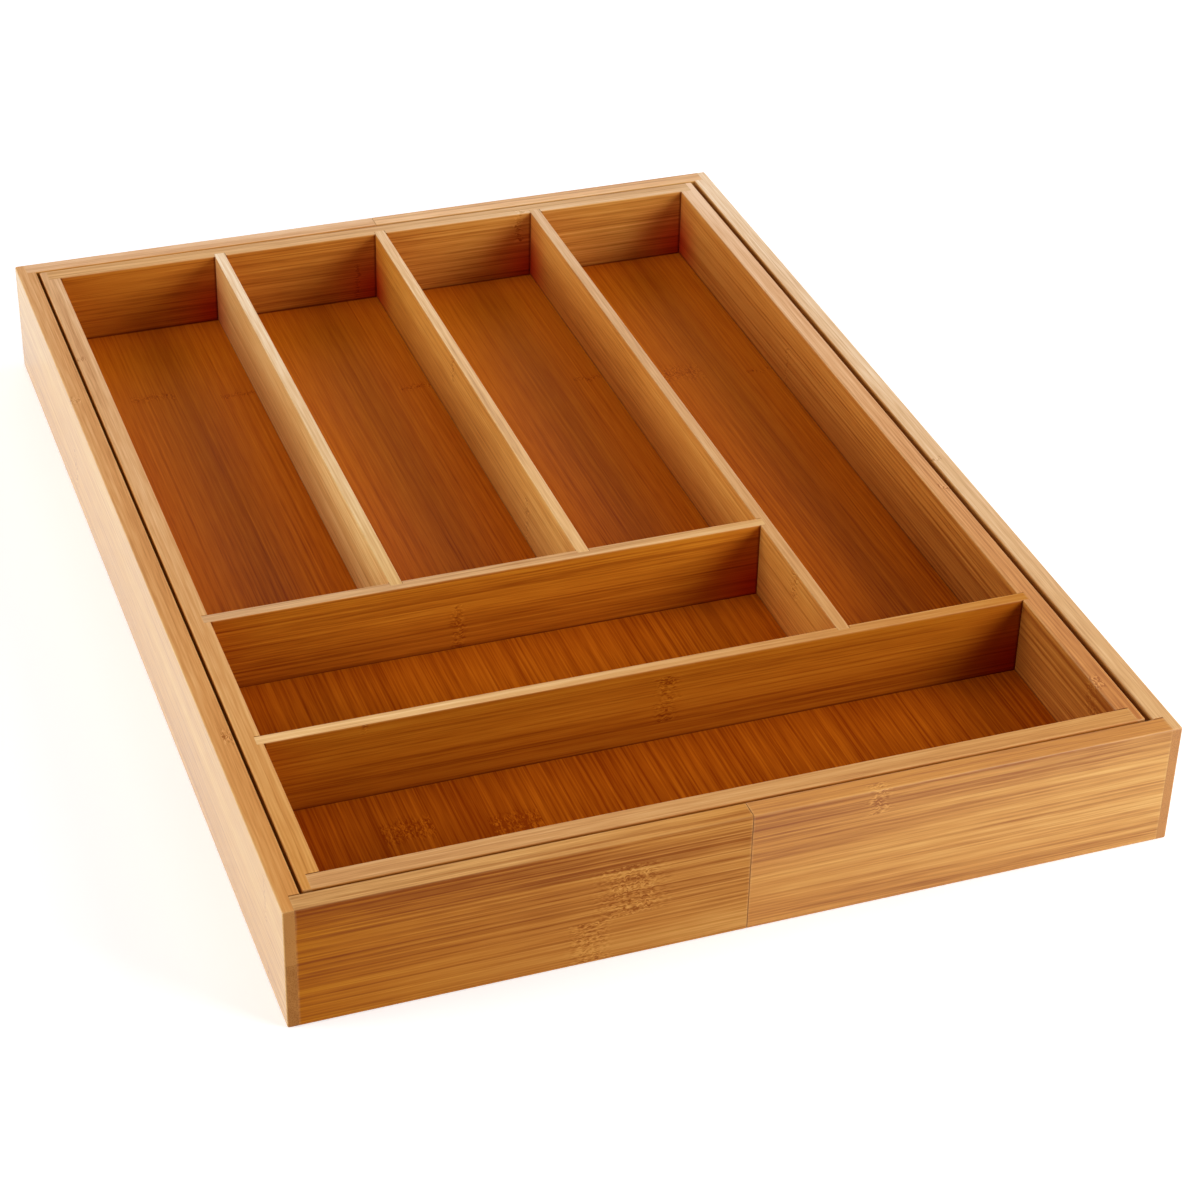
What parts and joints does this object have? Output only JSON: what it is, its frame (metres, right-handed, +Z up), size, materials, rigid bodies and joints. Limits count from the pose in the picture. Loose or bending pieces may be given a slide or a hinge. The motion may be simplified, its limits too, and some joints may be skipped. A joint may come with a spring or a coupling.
{
  "type": "cutlery tray",
  "caption": "Extending bamboo cutlery tray for a drawer: a fixed tray with long and crosswise compartments between two U-shaped slides that pull out to left and right.",
  "frame": {"origin": "middle of the closed tray's footprint, on the surface that it stands on", "axes": "+X the way that the right slide pulls out, +Y to the back, +Z up"},
  "size_m": [0.33, 0.47, 0.05],
  "materials": {
    "bamboo_slide": "satin lacquer",
    "bamboo_wall": "satin lacquer",
    "bamboo_divider": "satin lacquer",
    "bamboo_floor": "satin lacquer",
    "bamboo_key": "planed"
  },
  "bodies": {
    "centre_tray": {"tray_left_wall": "bamboo_wall", "tray_right_wall": "bamboo_wall", "tray_front_wall": "bamboo_wall", "tray_back_wall": "bamboo_wall", "tray_floor": "bamboo_floor", "fork_lane_divider": "bamboo_divider", "spoon_lane_divider": "bamboo_divider", "long_lane_divider": "bamboo_divider", "short_cross_divider": "bamboo_divider", "front_cross_divider": "bamboo_divider", "left_front_guide_key": "bamboo_key", "left_back_guide_key": "bamboo_key", "right_front_guide_key": "bamboo_key", "right_back_guide_key": "bamboo_key"},
    "left_slide": {"left_slide_wall": "bamboo_slide", "left_slide_front_rail": "bamboo_slide", "left_slide_back_rail": "bamboo_slide", "left_slide_floor": "bamboo_floor"},
    "right_slide": {"right_slide_wall": "bamboo_slide", "right_slide_front_rail": "bamboo_slide", "right_slide_back_rail": "bamboo_slide", "right_slide_floor": "bamboo_floor"}
  },
  "joints": [
    {"name": "left_slide_pull", "type": "slide", "parent": "centre_tray", "child": "left_slide", "axis": [-1, 0, 0], "range_m": [0, 0.111]},
    {"name": "right_slide_pull", "type": "slide", "parent": "centre_tray", "child": "right_slide", "axis": [1, 0, 0], "range_m": [0, 0.11]}
  ]
}
